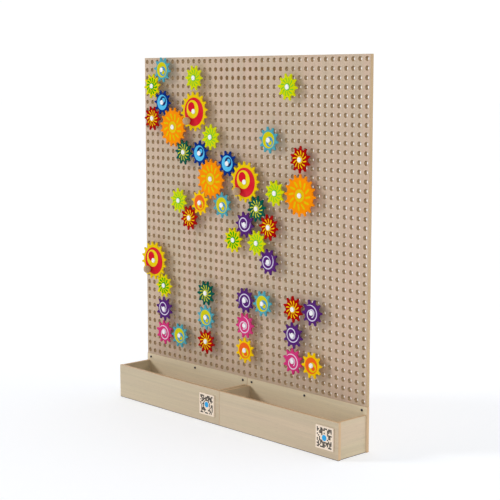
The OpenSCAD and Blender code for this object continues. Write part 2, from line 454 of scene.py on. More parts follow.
def enamel(name, colour, roughness=0.42, rub=0.5):
    """Satin coloured plastic with a faint orange peel, fine scratches and rubbed edges."""
    n = Surface(name)
    cloud = n.noise(n.place(22), detail=3.0)
    peel = n.noise(n.place(650), detail=2.0)
    scratch = n.noise(n.place((2400, 300, 90), turn=(0.2, 0.9, 0.4)), detail=2.0)
    scratch_mask = n.range(scratch, 0.66, 0.74)
    tone = n.tint(colour, cloud, 0.955, 1.035)
    tone = n.mix(n.math("MULTIPLY", scratch_mask, 0.12), tone, shade(colour, 1.25))
    rubbed = n.math("MULTIPLY", n.attribute("wear"), n.range(cloud, 0.42, 0.66, 0.05, rub))
    tone = n.mix(rubbed, tone, n.mix(0.25, shade(colour, 1.15), srgb(235, 228, 215)))
    rough = n.range(cloud, 0.25, 0.75, roughness - 0.05, roughness + 0.07)
    rough = n.math("ADD", rough, n.math("MULTIPLY", scratch_mask, 0.12))
    n.set(Base_Color=tone, Roughness=rough, Normal=n.bump(peel, 0.00006, 0.35), Specular_IOR_Level=0.02)
    return n.material


def white_plastic(name, colour):
    """Moulded white plastic, slightly translucent, with dulled patches."""
    n = Surface(name)
    cloud = n.noise(n.place(60), detail=3.0)
    peel = n.noise(n.place(900), detail=1.0)
    tone = n.tint(colour, cloud, 0.97, 1.02)
    rubbed = n.math("MULTIPLY", n.attribute("wear"), 0.25)
    tone = n.mix(rubbed, tone, srgb(214, 210, 204))
    n.set(Base_Color=tone, Roughness=n.range(cloud, 0.3, 0.7, 0.28, 0.4),
          Normal=n.bump(peel, 0.00004, 0.3), Coat_Weight=0.15, Coat_Roughness=0.2)
    return n.material


def ball_wood(name, light, dark):
    """Turned beech: growth rings through the ball, fine fibres and small flecks."""
    n = Surface(name)
    rings = n.add("ShaderNodeTexWave", {"Vector": n.place((1, 1, 0.25), turn=(0.15, 0.1, 0.3)), "Scale": 60.0,
                                        "Distortion": 4.0, "Detail": 3.0, "Detail Scale": 1.2},
                  wave_type="BANDS", bands_direction="X").outputs["Fac"]
    fibre = n.noise(n.place((600, 600, 40)), detail=3.0)
    flecks = n.noise(n.place((1400, 1400, 260), shift=(2, 4, 1)), detail=1.0)
    fleck_mask = n.range(flecks, 0.62, 0.7)
    tone = n.mix(n.range(rings, 0.1, 0.9, 0.0, 0.45), light, dark)
    tone = n.tint(tone, fibre, 0.94, 1.05)
    tone = n.mix(n.math("MULTIPLY", fleck_mask, 0.3), tone, shade(dark, 0.6))
    n.set(Base_Color=tone, Roughness=n.range(fibre, 0.3, 0.7, 0.42, 0.55),
          Normal=n.bump(fibre, 0.00008, 0.4), Specular_IOR_Level=0.4)
    return n.material


def screw_metal(name, colour, metallic, roughness):
    """Coated screw with turning marks and bright rubbed edges."""
    n = Surface(name)
    grit = n.noise(n.place(1500), detail=2.0)
    cloud = n.noise(n.place(220), detail=2.0)
    tone = n.tint(colour, cloud, 0.85, 1.15)
    bright = n.math("MULTIPLY", n.attribute("wear"), n.range(cloud, 0.4, 0.6, 0.1, 0.6))
    tone = n.mix(bright, tone, srgb(150, 150, 152))
    rough = n.range(grit, 0.3, 0.7, roughness - 0.06, roughness + 0.1)
    n.set(Base_Color=tone, Metallic=metallic, Roughness=rough, Normal=n.bump(grit, 0.00004, 0.5))
    return n.material


def printed_card(name, colour, glow=0.0):
    """Matt printed card with paper tooth. A glow above 0 makes it give off light."""
    n = Surface(name)
    tooth = n.noise(n.place(800), detail=4.0, roughness=0.7)
    cloud = n.noise(n.place(30), detail=2.0)
    tone = n.tint(n.tint(colour, tooth, 0.97, 1.03), cloud, 0.97, 1.02)
    rubbed = n.math("MULTIPLY", n.attribute("wear"), 0.3)
    tone = n.mix(rubbed, tone, srgb(190, 178, 160))
    n.set(Base_Color=tone, Roughness=n.range(tooth, 0.3, 0.7, 0.6, 0.75),
          Normal=n.bump(tooth, 0.00005, 0.4), Specular_IOR_Level=0.3)
    if glow:
        n.set(Emission_Color=colour, Emission_Strength=glow)
    return n.material


BOARD_FACE = veneer("board_veneer", srgb(205, 181, 157), srgb(211, 181, 159), srgb(199, 180, 154), axis=2,
                    band_scale=20.0, streak=0.06)
LAYERS_PER_METRE = 1200
BOARD_EDGE = ply_edge("board_ply_edge", srgb(207, 180, 143), srgb(184, 156, 119))
HOLE_WALL = ply_edge("board_hole_wall", srgb(206, 180, 144), srgb(180, 152, 116))
BIN_TONES = (srgb(205, 188, 160), srgb(209, 187, 161), srgb(200, 187, 156))
# The back panels' tones are the bins' tones made 1.32 times lighter: painted light, a lit copy of the same
# veneer that lifts the shaded insides of the bins
BIN_BACK_PAINTED_LIGHT_TONES = [shade(tone, 1.32) for tone in BIN_TONES]
BIN_FRONT_FACE = veneer("bin_veneer_long", *BIN_TONES, axis=0, band_scale=11.0, streak=0.07)
BIN_SIDE_FACE = veneer("bin_veneer_side", *BIN_TONES, axis=1, band_scale=11.0, streak=0.07)
BIN_BACK_PAINTED_LIGHT_FACE = veneer("bin_veneer_back", *BIN_BACK_PAINTED_LIGHT_TONES, axis=0, band_scale=11.0, streak=0.07)
BIN_EDGE = edge_band("bin_edge_band", srgb(206, 174, 136))
BATTEN_FACE = veneer("batten_wood", srgb(204, 182, 146), srgb(200, 170, 130), srgb(212, 194, 160), axis=0,
                     band_scale=9.0, streak=0.04)
DOWEL_WOOD = ball_wood("dowel_beech", srgb(206, 176, 136), srgb(180, 142, 100))
KNOB_WOOD = ball_wood("knob_beech", srgb(196, 166, 130), srgb(172, 138, 102))
PEG_WHITE = white_plastic("peg_white", srgb(238, 238, 240))
CAP_WHITE = white_plastic("cap_white", srgb(253, 253, 255))
SCREW_BLACK = screw_metal("screw_black", srgb(52, 52, 60), 0.6, 0.38)
SCREW_ZINC = screw_metal("screw_zinc", srgb(176, 178, 184), 1.0, 0.3)
CARD_CREAM = printed_card("plaque_cream", srgb(250, 232, 212))
CARD_DARK = printed_card("plaque_dark", srgb(42, 38, 34))
CARD_BLUE = printed_card("plaque_blue", srgb(40, 170, 235))
# A glowing strip on the hidden batten's front: painted light that lifts the holes in front of it
PAINTED_GLOW = printed_card("batten_lining_paper", srgb(214, 196, 166), glow=0.75)
# A dark strip at the panels' feet: painted shade of the contact line with the floor
FOOT_STRIP_PAINTED_SHADE = printed_card("foot_strip_felt", srgb(74, 76, 84))

# Body colour of each kind of gear
BODY_COLOURS = {
    "teal": srgb(84, 168, 184),
    "lime": srgb(214, 220, 0),
    "yellow": srgb(228, 214, 0),
    "red": srgb(174, 0, 0),
    "green": srgb(0, 88, 74),
    "blue": srgb(0, 46, 132),
    "amber": srgb(252, 206, 0),
    "purple": srgb(88, 38, 118),
    "pink": srgb(216, 58, 126),
    "orange": srgb(255, 146, 0),
    "crank": srgb(238, 204, 0),
}
# Printed colours of each kind of gear, from the lowest layer up
PRINT_COLOURS = {
    "teal": [srgb(214, 206, 0), srgb(78, 156, 200)],
    "lime": [srgb(126, 208, 44)],
    "yellow": [srgb(14, 172, 0)],
    "red": [srgb(252, 210, 0)],
    "green": [srgb(216, 216, 44)],
    "blue": [srgb(84, 192, 238), srgb(0, 34, 104)],
    "amber": [srgb(250, 104, 22), srgb(240, 208, 0)],
    "purple": [srgb(224, 214, 238)],
    "pink": [srgb(238, 212, 232)],
    "orange": [srgb(232, 198, 0)],
    "crank": [srgb(220, 20, 42), srgb(240, 214, 0)],
}
BODY_PAINT = {kind: enamel("enamel_" + kind, colour) for kind, colour in BODY_COLOURS.items()}
PRINT_PAINT = {
    kind: [enamel(f"print_{kind}_{i}", colour, roughness=0.36, rub=0.2) for i, colour in enumerate(colours)]
    for kind, colours in PRINT_COLOURS.items()
}


# ---- Board ----

BOARD_MATERIALS = [BOARD_FACE, BOARD_EDGE, HOLE_WALL]
HOLE_PAINT = BOARD_MATERIALS.index(HOLE_WALL)


def mark_painted_hole_shade(piece):
    """Marks the upper half of each hole's wall, more towards its top, where the wood is painted darker as
    shade from the light above.
    """
    mesh = piece.data
    burnt = [0.0] * len(mesh.vertices)
    for face in mesh.polygons:
        if face.material_index == HOLE_PAINT:
            for index in face.vertices:
                burnt[index] = max(0.0, burnt[index], -face.normal.z)
    mesh.attributes.new("burnt", "FLOAT", "POINT").data.foreach_set("value", burnt)


def pegboard():
    """The board as a grid of cells, each with a chamfered hole, inside an eased rim."""
    shape = Shape()
    low, high = BOARD_BOX
    count = HOLES_PER_SIDE

    def grid_lines(start, end):
        lines = [start + k * PITCH for k in range(count + 1)]
        lines[0] = start + EASE
        lines[-1] = end - EASE
        return lines

    xs = grid_lines(low.x, high.x)
    zs = grid_lines(low.z, high.z)
    corners = []
    for y in (low.y, high.y):
        flat = shape.ring([(x, y, z) for z in zs for x in xs])
        corners.append([flat[row * (count + 1):(row + 1) * (count + 1)] for row in range(count + 1)])

    quarter = HOLE_SEGMENTS // 4
    turn = -math.pi / 4
    unit = [(math.cos(turn + FULL * k / HOLE_SEGMENTS), math.sin(turn + FULL * k / HOLE_SEGMENTS))
            for k in range(HOLE_SEGMENTS)]

    def surround(cell, hole):
        """The flat face between a cell's four corners and its hole, as four fans."""
        for k in range(4):
            arc = [hole[(k * quarter + step) % HOLE_SEGMENTS] for step in range(quarter + 1)]
            shape.face([cell[k], cell[(k + 1) % 4], *reversed(arc)])

    for row in range(count):
        for column in range(count):
            cx = low.x + (column + 0.5) * PITCH
            cz = low.z + (row + 0.5) * PITCH
            wide = HOLE_R + HOLE_CHAMFER
            mouth = shape.ring([(cx + wide * c, low.y, cz + wide * s) for c, s in unit], 0.6)
            throat = shape.ring([(cx + HOLE_R * c, low.y + HOLE_CHAMFER, cz + HOLE_R * s) for c, s in unit])
            rear = shape.ring([(cx + HOLE_R * c, high.y, cz + HOLE_R * s) for c, s in unit])
            shape.bridge(mouth, throat, HOLE_PAINT)
            shape.bridge(throat, rear, HOLE_PAINT)
            for grid, hole in zip(corners, (mouth, rear)):
                cell = [grid[row][column + 1], grid[row + 1][column + 1],
                        grid[row + 1][column], grid[row][column]]
                surround(cell, hole)

    steps = range(count)
    rim = [(k, 0) for k in steps] + [(count, k) for k in steps]
    rim += [(count - k, count) for k in steps] + [(0, count - k) for k in steps]
    full_x = [low.x, *xs[1:-1], high.x]
    full_z = [low.z, *zs[1:-1], high.z]
    outer = [shape.ring([(full_x[column], y, full_z[row]) for column, row in rim], 1.0)
             for y in (low.y + EASE, high.y - EASE)]
    inner = [[grid[row][column] for column, row in rim] for grid in corners]
    shape.bridge(inner[0], outer[0], 1)
    shape.bridge(outer[0], outer[1], 1)
    shape.bridge(outer[1], inner[1], 1)
    piece = shape.build("board", BOARD_MATERIALS)
    # Marks where painted shade darkens the upper half of each hole
    mark_painted_hole_shade(piece)
    stand_in(piece, "wall_unit", "board_plywood", "pegboard")


# ---- Pegs, caps and knobs ----

def gear_names():
    return [name for name in frame["bodies"] if "_gear_" in name]


def gear_centre(name):
    place = joint_place(name + "_spin")
    return Vector((place.x, FACE_Y, place.z))


def axle_pegs():
    """Pegs with a dimpled plug in the board, a collar, a waisted stem and a journal."""
    plug_end = -PLUG_DEPTH
    plug_r = HOLE_R - 0.05 * MM
    dimple = [(0, plug_end + 1.5 * MM, 0), (3.6 * MM, plug_end + 1.3 * MM, 0),
              (4.2 * MM, plug_end + 0.2 * MM, 0)]
    plug = [(4.6 * MM, plug_end, 0.5), (plug_r - 1 * MM, plug_end, 0),
            (plug_r - 0.3 * MM, plug_end + 0.4 * MM, 0.8), (plug_r, plug_end + 1.1 * MM, 0), (plug_r, 0, 0)]
    collar = [(COLLAR_R - 0.4 * MM, 0.02 * MM, 0), (COLLAR_R, 0.5 * MM, 0.8), (COLLAR_R, 2.2 * MM, 0),
              (COLLAR_R - 0.3 * MM, 2.8 * MM, 0.8), (COLLAR_R - 0.9 * MM, 3.0 * MM, 0),
              (STEM_R + 0.9 * MM, 3.05 * MM, 0)]
    stem = [(STEM_R + 0.2 * MM, 3.5 * MM, 0), (STEM_R, 4.4 * MM, 0), (STEM_R - 0.2 * MM, STANDOFF / 2, 0),
            (STEM_R, SHOULDER - 1.2 * MM, 0), (STEM_R - 0.1 * MM, SHOULDER - 0.3 * MM, 0.8),
            (STEM_R - 0.5 * MM, SHOULDER, 0)]
    journal = [(JOURNAL_R, SHOULDER, 0), (JOURNAL_R, JOURNAL_END, 0), (0, JOURNAL_END, 0)]
    shape = Shape()
    for name in gear_names():
        turned(shape, gear_centre(name), dimple + plug + collar + stem + journal, segments=28)
    stand_in(shape.build("pegs", [PEG_WHITE]), "wall_unit", "white_plastic", "axle_pegs")


def hub_caps():
    """Round caps with a rolled edge and a shallow dimple."""
    back = JOURNAL_END
    front = JOURNAL_END + CAP_T
    side = [(0, back, 0), (CAP_R - 0.6 * MM, back, 0), (CAP_R - 0.2 * MM, back + 0.15 * MM, 0.6),
            (CAP_R, back + 0.6 * MM, 0), (CAP_R, front - 2.0 * MM, 0)]
    rolled_edge = [(CAP_R - 0.3 * MM, front - 1.1 * MM, 0), (CAP_R - 1.1 * MM, front - 0.45 * MM, 0.8),
                   (CAP_R - 2.3 * MM, front - 0.1 * MM, 0), (CAP_R - 3.3 * MM, front, 0)]
    dimple = [(3.4 * MM, front, 0), (2.9 * MM, front - 0.2 * MM, 0.5), (2.4 * MM, front - 0.8 * MM, 0),
              (0, front - 0.9 * MM, 0)]
    shape = Shape()
    for name in gear_names():
        turned(shape, gear_centre(name), side + rolled_edge + dimple, segments=32)
    stand_in(shape.build("caps", [CAP_WHITE]), "wall_unit", "white_plastic", "hub_caps")


def crank_knob(number):
    """Ball knob: a sphere with a flat foot on the gear and a small flat at its front."""
    node = f"crank_knob_{number}"
    low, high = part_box(node)
    radius = (high.x - low.x) / 2
    gear_front = FACE_Y - STANDOFF - GEAR_T
    ball_centre = gear_front - low.y - radius
    foot = math.acos(min(1.0, ball_centre / radius))
    flat = math.radians(10)
    clear = 0.05 * MM
    steps = 22
    profile = [(0, clear, 0), (radius * math.sin(foot) - 0.6 * MM, clear, 0)]
    for k in range(steps + 1):
        angle = foot + (math.pi - flat - foot) * k / steps
        wear = 0.4 if k == steps else 0
        profile.append((radius * math.sin(angle), ball_centre - radius * math.cos(angle), wear))
    profile.append((0, ball_centre + radius * math.cos(flat), 0))
    shape = Shape()
    turned(shape, middle(low, high, gear_front), profile, segments=48)
    stand_in(shape.build(f"knob_{number}", [KNOB_WOOD]), f"crank_gear_{number}", "knob_wood", node)


# ---- Gears ----

class Gear:
    """Where a gear is, and which way its first tooth points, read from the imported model."""

    def __init__(self, name):
        self.name = name
        self.kind = name.split("_")[0]
        self.centre = gear_centre(name)
        low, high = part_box(name)
        self.front_y = low.y
        self.back_y = high.y
        big = high.z - low.z > SMALL_TIP_R + BIG_TIP_R
        self.teeth = BIG_TEETH if big else SMALL_TEETH
        self.root_r = BIG_ROOT_R if big else SMALL_ROOT_R
        self.tip_r = BIG_TIP_R if big else SMALL_TIP_R
        self.turn = self.tooth_angle()

    def tooth_angle(self):
        """The first tooth's angle, from the points that lie near the tips."""
        swing = complex(0)
        for vertex in frame["nodes"][self.name].data.vertices:
            arm = complex(vertex.co.x - self.centre.x, vertex.co.z - self.centre.z)
            if abs(arm) > 0.985 * self.tip_r:
                swing += (arm / abs(arm)) ** self.teeth
        return math.atan2(swing.imag, swing.real) / self.teeth

    def at(self, x, z):
        """A point given with the gear's first tooth along x, as x and z in the model's own frame."""
        c, s = math.cos(self.turn), math.sin(self.turn)
        return (self.centre.x + c * x - s * z, self.centre.z + s * x + c * z)


def gear_outline(teeth, root_r, tip_r):
    """Toothed outline about the origin: straight flanks into round tips, and arcs of the root circle."""
    tip_round = TOOTH_TIP_W / 2
    round_x = tip_r - tip_round
    foot = Vector((math.sqrt(root_r ** 2 - (TOOTH_ROOT_W / 2) ** 2), TOOTH_ROOT_W / 2))
    reach = Vector((round_x - foot.x, foot.y))
    flank = math.atan2(reach.y, reach.x) - math.asin(tip_round / reach.length)
    swing = math.pi / 2 - flank
    tip_steps, root_steps = 10, 5
    points = []
    for tooth in range(teeth):
        one = [(foot.x, -foot.y)]
        for step in range(tip_steps + 1):
            angle = -swing + 2 * swing * step / tip_steps
            one.append((round_x + tip_round * math.cos(angle), tip_round * math.sin(angle)))
        one.append((foot.x, foot.y))
        start = math.asin(foot.y / root_r)
        gap = FULL / teeth - 2 * start
        for step in range(1, root_steps):
            angle = start + gap * step / root_steps
            one.append((root_r * math.cos(angle), root_r * math.sin(angle)))
        c, s = math.cos(FULL * tooth / teeth), math.sin(FULL * tooth / teeth)
        points += [(c * x - s * z, s * x + c * z) for x, z in one]
    return points


def inset(points, distance):
    """The outline moved inwards, each point along the middle of its two edges' normals."""
    moved = []
    count = len(points)
    for i, point in enumerate(points):
        before = Vector(point) - Vector(points[i - 1])
        after = Vector(points[(i + 1) % count]) - Vector(point)
        normal_a = Vector((-before.y, before.x)).normalized()
        normal_b = Vector((-after.y, after.x)).normalized()
        inward = (normal_a + normal_b).normalized()
        stretch = min(1.6, 1 / max(0.3, inward.dot(normal_a)))
        moved.append((point[0] + inward.x * distance * stretch, point[1] + inward.y * distance * stretch))
    return moved


def gear_body(gear):
    """A flat gear with rounded edges and a bore, and a ring of points between them for even faces."""
    outline = gear_outline(gear.teeth, gear.root_r, gear.tip_r)
    ease = GEAR_ROUNDING
    soft = ease * ROUND_MIDDLE
    web_r = 0.86 * gear.root_r
    angles = [math.atan2(z, x) for x, z in outline]
    bore = [(GEAR_BORE_R * math.cos(a), GEAR_BORE_R * math.sin(a)) for a in angles]
    web = [(web_r * math.cos(a), web_r * math.sin(a)) for a in angles]
    shape = Shape()

    def ring(points, y, wear=0.0):
        spots = [gear.at(x, z) for x, z in points]
        return shape.ring([(x, y, z) for x, z in spots], wear)

    back, front = gear.back_y, gear.front_y
    rings = [
        ring(bore, back), ring(web, back), ring(inset(outline, ease), back),
        ring(inset(outline, soft), back - soft, 1.0), ring(outline, back - ease, 0.2),
        ring(outline, front + ease, 0.2), ring(inset(outline, soft), front + soft, 1.0),
        ring(inset(outline, ease), front), ring(web, front), ring(bore, front),
    ]
    for a, b in zip(rings, rings[1:] + rings[:1]):
        shape.bridge(a, b)
    stand_in(shape.build(gear.name + "_body", [BODY_PAINT[gear.kind]]),
             gear.name, "gear_" + gear.kind, gear.name)


# ---- Prints on the gears ----

# Radius round the hub, in pitches, that the prints stay outside
HUB = PRINT_HUB_R / PITCH


class Print:
    """Thin printed layers on a gear's front, drawn in pitches with the gear's first tooth along x."""

    def __init__(self, gear, turn_degrees):
        self.gear = gear
        self.shape = Shape()
        self.turn = math.radians(turn_degrees)

    def spot(self, x, z):
        c, s = math.cos(self.turn), math.sin(self.turn)
        return self.gear.at(PITCH * (c * x - s * z), PITCH * (s * x + c * z))

    def levels(self, layer):
        base = self.gear.front_y
        return base, base - layer * PRINT_T

    def slab(self, outline, layer, paint):
        back_y, front_y = self.levels(layer)
        prism(self.shape, [self.spot(x, z) for x, z in outline], back_y, front_y, paint)

    def disc(self, centre, radius, layer, paint, segments=72):
        """A disc with a hole for the hub, or one that the hub bites into."""
        if math.hypot(*centre) + HUB < radius:
            self.pierced_disc(centre, radius, layer, paint, segments)
        else:
            self.bitten_disc(centre, radius, layer, paint)

    def pierced_disc(self, centre, radius, layer, paint, segments):
        back_y, front_y = self.levels(layer)
        rings = []
        for y, r, (mx, mz) in ((back_y, HUB, (0, 0)), (back_y, radius, centre),
                               (front_y, radius, centre), (front_y, HUB, (0, 0))):
            points = []
            for k in range(segments):
                angle = FULL * k / segments
                x, z = self.spot(mx + r * math.cos(angle), mz + r * math.sin(angle))
                points.append((x, y, z))
            rings.append(self.shape.ring(points, 0.6 if r == radius and y == front_y else 0.0))
        for a, b in zip(rings, rings[1:] + rings[:1]):
            self.shape.bridge(a, b, paint)

    def bitten_disc(self, centre, radius, layer, paint):
        distance = math.hypot(*centre)
        toward = math.atan2(centre[1], centre[0])
        bite = math.acos((distance ** 2 + HUB ** 2 - radius ** 2) / (2 * distance * HUB))
        spread = math.acos((distance ** 2 + radius ** 2 - HUB ** 2) / (2 * distance * radius))
        rim_steps, bite_steps = 40, 12
        outline = []
        for k in range(rim_steps + 1):
            angle = toward + math.pi + spread + (FULL - 2 * spread) * k / rim_steps
            outline.append((centre[0] + radius * math.cos(angle), centre[1] + radius * math.sin(angle)))
        for k in range(1, bite_steps):
            angle = toward + bite - 2 * bite * k / bite_steps
            outline.append((HUB * math.cos(angle), HUB * math.sin(angle)))
        self.slab(outline, layer, paint)

    def ribbon(self, centres, widths, layer, paint):
        """A band along a line of points, with its own width at each."""
        back_y, front_y = self.levels(layer)
        edges = []
        for i, (x, z) in enumerate(centres):
            ahead = centres[min(i + 1, len(centres) - 1)]
            behind = centres[max(i - 1, 0)]
            direction = Vector((ahead[0] - behind[0], ahead[1] - behind[1])).normalized()
            side = Vector((-direction.y, direction.x)) * widths[i] / 2
            edges.append(((x - side.x, z - side.y), (x + side.x, z + side.y)))
        corners = []
        for left, right in edges:
            (lx, lz), (rx, rz) = self.spot(*left), self.spot(*right)
            corners.append(self.shape.ring([(lx, back_y, lz), (rx, back_y, rz),
                                            (rx, front_y, rz), (lx, front_y, lz)]))
        for a, b in zip(corners, corners[1:]):
            self.shape.bridge(a, b, paint)
        self.shape.face(corners[0], paint)
        self.shape.face(corners[-1], paint)

    def finish(self):
        piece = self.shape.build(self.gear.name + "_print", PRINT_PAINT[self.gear.kind], crease=30)
        stand_in(piece, self.gear.name, None)


def polar(r, degrees):
    """A point in pitches, as x and z."""
    return (r * math.cos(math.radians(degrees)), r * math.sin(math.radians(degrees)))


def round_widths(count, width, taper=0.0):
    """Widths along a ribbon that closes in rounded ends, and is narrower at its start by the taper."""
    end_length = 0.16
    least = 0.2
    widths = []
    for i in range(count):
        t = i / (count - 1)
        end = min(1.0, min(t, 1 - t) / end_length)
        roundness = math.sqrt(max(least ** 2, 1 - (1 - end) ** 2))
        widths.append(width * (1 - taper * (1 - t)) * roundness)
    return widths


def eye_print(gear, start):
    """Three discs, each smaller and further off centre."""
    p = Print(gear, start)
    p.disc((0, 0), 0.945, 1, 0)
    p.disc((0.26, 0), 0.58, 2, 1)
    p.disc((0.42, 0), 0.28, 3, 0)
    p.finish()


RAYS = 12
RAY_WIDTH = {"red": 0.15, "green": 0.145, "lime": 0.16, "yellow": 0.235}


def small_rays_print(gear, start):
    """A hub ring and slanted dashes that swirl outwards."""
    p = Print(gear, start)
    p.disc((0, 0), 0.45, 1, 0, segments=48)
    steps = 12
    inner_r, outer_r = 0.50, 1.04
    swirl, straight_r = 28, 0.9
    for k in range(RAYS):
        centres = []
        for i in range(steps + 1):
            r = inner_r + (outer_r - inner_r) * i / steps
            centres.append(polar(r, 360 / RAYS * k + swirl * (r - straight_r)))
        p.ribbon(centres, round_widths(steps + 1, RAY_WIDTH[gear.kind], taper=0.4), 1, 0)
    p.finish()


def orange_print(gear, start):
    """A wide hub ring and straight slanted bars."""
    p = Print(gear, start)
    p.disc((0, 0), 0.73, 1, 0)
    steps = 10
    inner, outer = polar(0.93, -5.5), polar(1.72, 7.0)
    for k in range(RAYS):
        c, s = math.cos(FULL * k / RAYS), math.sin(FULL * k / RAYS)
        centres = []
        for i in range(steps + 1):
            t = i / steps
            x = inner[0] * (1 - t) + outer[0] * t
            z = inner[1] * (1 - t) + outer[1] * t
            centres.append((c * x - s * z, s * x + c * z))
        p.ribbon(centres, round_widths(steps + 1, 0.25), 1, 0)
    p.finish()


def crank_print(gear, start):
    """A large red disc, a yellow one and a small red one, each further off centre."""
    p = Print(gear, start)
    p.disc((0.05, -0.05), 1.72, 1, 0, segments=96)
    p.disc((-0.19, 0.26), 1.09, 2, 1)
    p.disc((-0.39, 0.52), 0.61, 3, 0)
    p.finish()


def spiral_print(gear, start):
    """A band that winds clockwise and inwards to the hub, about a point beside it."""
    p = Print(gear, start)
    turns, steps = 1.55, 90
    outer_r, tightening = 1.12, 0.78
    centre_x, centre_z = polar(0.20, 120)
    nearest = HUB + 0.07
    centres, widths = [], []
    for i in range(steps + 1):
        t = turns * i / steps
        x, z = polar(outer_r * math.exp(-tightening * t), -360 * t)
        x, z = x + centre_x, z + centre_z
        clear = max(1.0, nearest / math.hypot(x, z))
        centres.append((x * clear, z * clear))
        widths.append(0.125 * min(1.0, 0.25 + 6 * t))
    p.ribbon(centres, widths, 1, 0)
    p.finish()


# What is printed on each kind of gear, and where it starts, in degrees from the gear's first tooth
PRINTS = {
    "teal": (eye_print, -38.0), "amber": (eye_print, -46.0), "blue": (eye_print, 46.0),
    "lime": (small_rays_print, 15.9), "yellow": (small_rays_print, 15.9),
    "red": (small_rays_print, 3.7), "green": (small_rays_print, 15.4),
    "purple": (spiral_print, 14.0), "pink": (spiral_print, 14.0),
    "orange": (orange_print, 16.6), "crank": (crank_print, -5.0),
}
# Degrees by which a gear's print starts further round than on others of its kind
FURTHER_ROUND = {
    "purple_gear_2": 36, "purple_gear_3": 180, "purple_gear_4": 108,
    "pink_gear_1": 72, "pink_gear_2": 144, "pink_gear_3": 144,
    "orange_gear_3": 7.4, "blue_gear_2": -22,
}


def print_on(gear):
    draw, start = PRINTS[gear.kind]
    draw(gear, start + FURTHER_ROUND.get(gear.name, 0))


def gears():
    for name in gear_names():
        gear = Gear(name)
        gear_body(gear)
        print_on(gear)


# ---- Bins, plaques, screws and battens ----

def panels(name, node, thin, materials):
    """A node's flat panels. With a third material, the foot of each is a low strip of it, painted dark as
    shade where the panel meets the floor.
    """
    shape = Shape()
    for low, high in solids(node):
        if len(materials) > 2:
            # The foot strip is set back a little and painted dark: painted shade where the panel meets the
            # floor
            setback = Vector((0.6 * MM, 0.6 * MM, 0))
            strip_top = Vector((high.x, high.y, low.z + FOOT_STRIP_H + EASE))
            panel(shape, (low + setback, strip_top - setback), thin, 0.2 * MM, face_paint=2, edge_paint=2)
            low = low + Vector((0, 0, FOOT_STRIP_H))
        panel(shape, (low, high), thin)
    stand_in(shape.build(name, materials), "wall_unit", "bin_plywood", node)


PLAQUE_MODULES = 13
PLAQUE_PRINTED = 0.86
BLOCK_GAP = 0.04
DOT_R, DOT_CLEAR_R = 2.0, 2.6
INK_T, DOT_T = 0.1 * MM, 0.12 * MM


def code_plaques():
    """Cream cards with a made-up pattern of blocks around a blue dot, denser in the corners."""
    shape = Shape()
    half = PLAQUE_MODULES // 2
    blocks = random.Random(5)
    for box in solids("code_plaques"):
        panel(shape, box, 1, ease=0.4 * MM, edge_paint=0)
        low, high = box
        centre = middle(low, high, 0)
        back_y = low.y + 0.01 * MM
        size = (high.x - low.x) * PLAQUE_PRINTED / PLAQUE_MODULES
        for i in range(PLAQUE_MODULES):
            for j in range(PLAQUE_MODULES):
                a, b = abs(i - half), abs(j - half)
                filled = 0.7 if min(a, b) > 2 else 0.54
                if math.hypot(a, b) < DOT_CLEAR_R or blocks.random() > filled:
                    continue
                left = centre.x + (i - PLAQUE_MODULES / 2 + BLOCK_GAP) * size
                foot = centre.z + (j - PLAQUE_MODULES / 2 + BLOCK_GAP) * size
                side = size * (1 - 2 * BLOCK_GAP)
                square = [(left, foot), (left + side, foot), (left + side, foot + side), (left, foot + side)]
                prism(shape, square, back_y, low.y - INK_T, 1)
        dot = [(x, z) for x, _, z in circle(centre, 0, DOT_R * size, 40)]
        prism(shape, dot, back_y, low.y - DOT_T, 2)
    stand_in(shape.build("plaques", [CARD_CREAM, CARD_DARK, CARD_BLUE]),
             "wall_unit", "plaque_card", "code_plaques")


def hexagon(across):
    """A radius for circle() that draws a hexagon, measured across its flats."""
    def radius(angle):
        inside = (angle + math.pi / 6) % (math.pi / 3) - math.pi / 6
        return across / 2 / math.cos(inside)
    return radius


def cross(arm, width):
    """A radius for circle() that draws a cross with round ends."""
    def radius(angle):
        narrow = max(1e-3, min(abs(math.cos(angle)), abs(math.sin(angle))))
        return min(arm, width / 2 / narrow)
    return radius


def bin_screws():
    """Domed black heads with a hexagon socket."""
    shape = Shape()
    for low, high in solids("bin_screws"):
        r = (high.x - low.x) / 2
        top = FACE_Y - low.y
        dome = [(r * 0.97, 0.0, 0), (r, 0.35 * MM, 0.6), (r * 0.96, top * 0.5, 0),
                (r * 0.82, top * 0.82, 0.3), (r * 0.62, top * 0.97, 0)]
        rim, wall = hexagon(3.4 * MM), hexagon(3.1 * MM)
        socket = [(rim, top, 1.0), (wall, top - 0.25 * MM, 0.2), (wall, top - 2.0 * MM, 0),
                  (0, top - 2.1 * MM, 0)]
        turned(shape, middle(low, high, FACE_Y), dome + socket, segments=36)
    stand_in(shape.build("bin_screw_heads", [SCREW_BLACK]), "wall_unit", "black_screw", "bin_screws")


def batten_screws():
    """Flush countersunk heads with a cross recess, in the back of the hanging batten."""
    shape = Shape()
    for low, high in solids("batten_screws"):
        r = (high.x - low.x) / 2
        head = [(0.5 * r, -r / 2, 0), (r, -0.12 * MM, 1.0), (r * 0.97, 0.0, 0.4)]
        recess = [(cross(2.3 * MM, 1.3 * MM), 0.0, 0.8), (cross(1.9 * MM, 0.9 * MM), -1.2 * MM, 0),
                  (0, -1.5 * MM, 0)]
        turned(shape, middle(low, high, high.y), head + recess, segments=40, out=1)
    stand_in(shape.build("batten_screw_heads", [SCREW_ZINC]), "wall_unit", "zinc_screw", "batten_screws")


def paint_cad_node(node, material):
    """A CAD node that stays as it is and takes this material, with its edges eased."""
    part = frame["nodes"][node]
    part.data.materials.clear()
    part.data.materials.append(material)
    ease = part.modifiers.new("ease", "BEVEL")
    ease.width = 0.5 * MM
    ease.segments = 2
    ease.limit_method = "ANGLE"


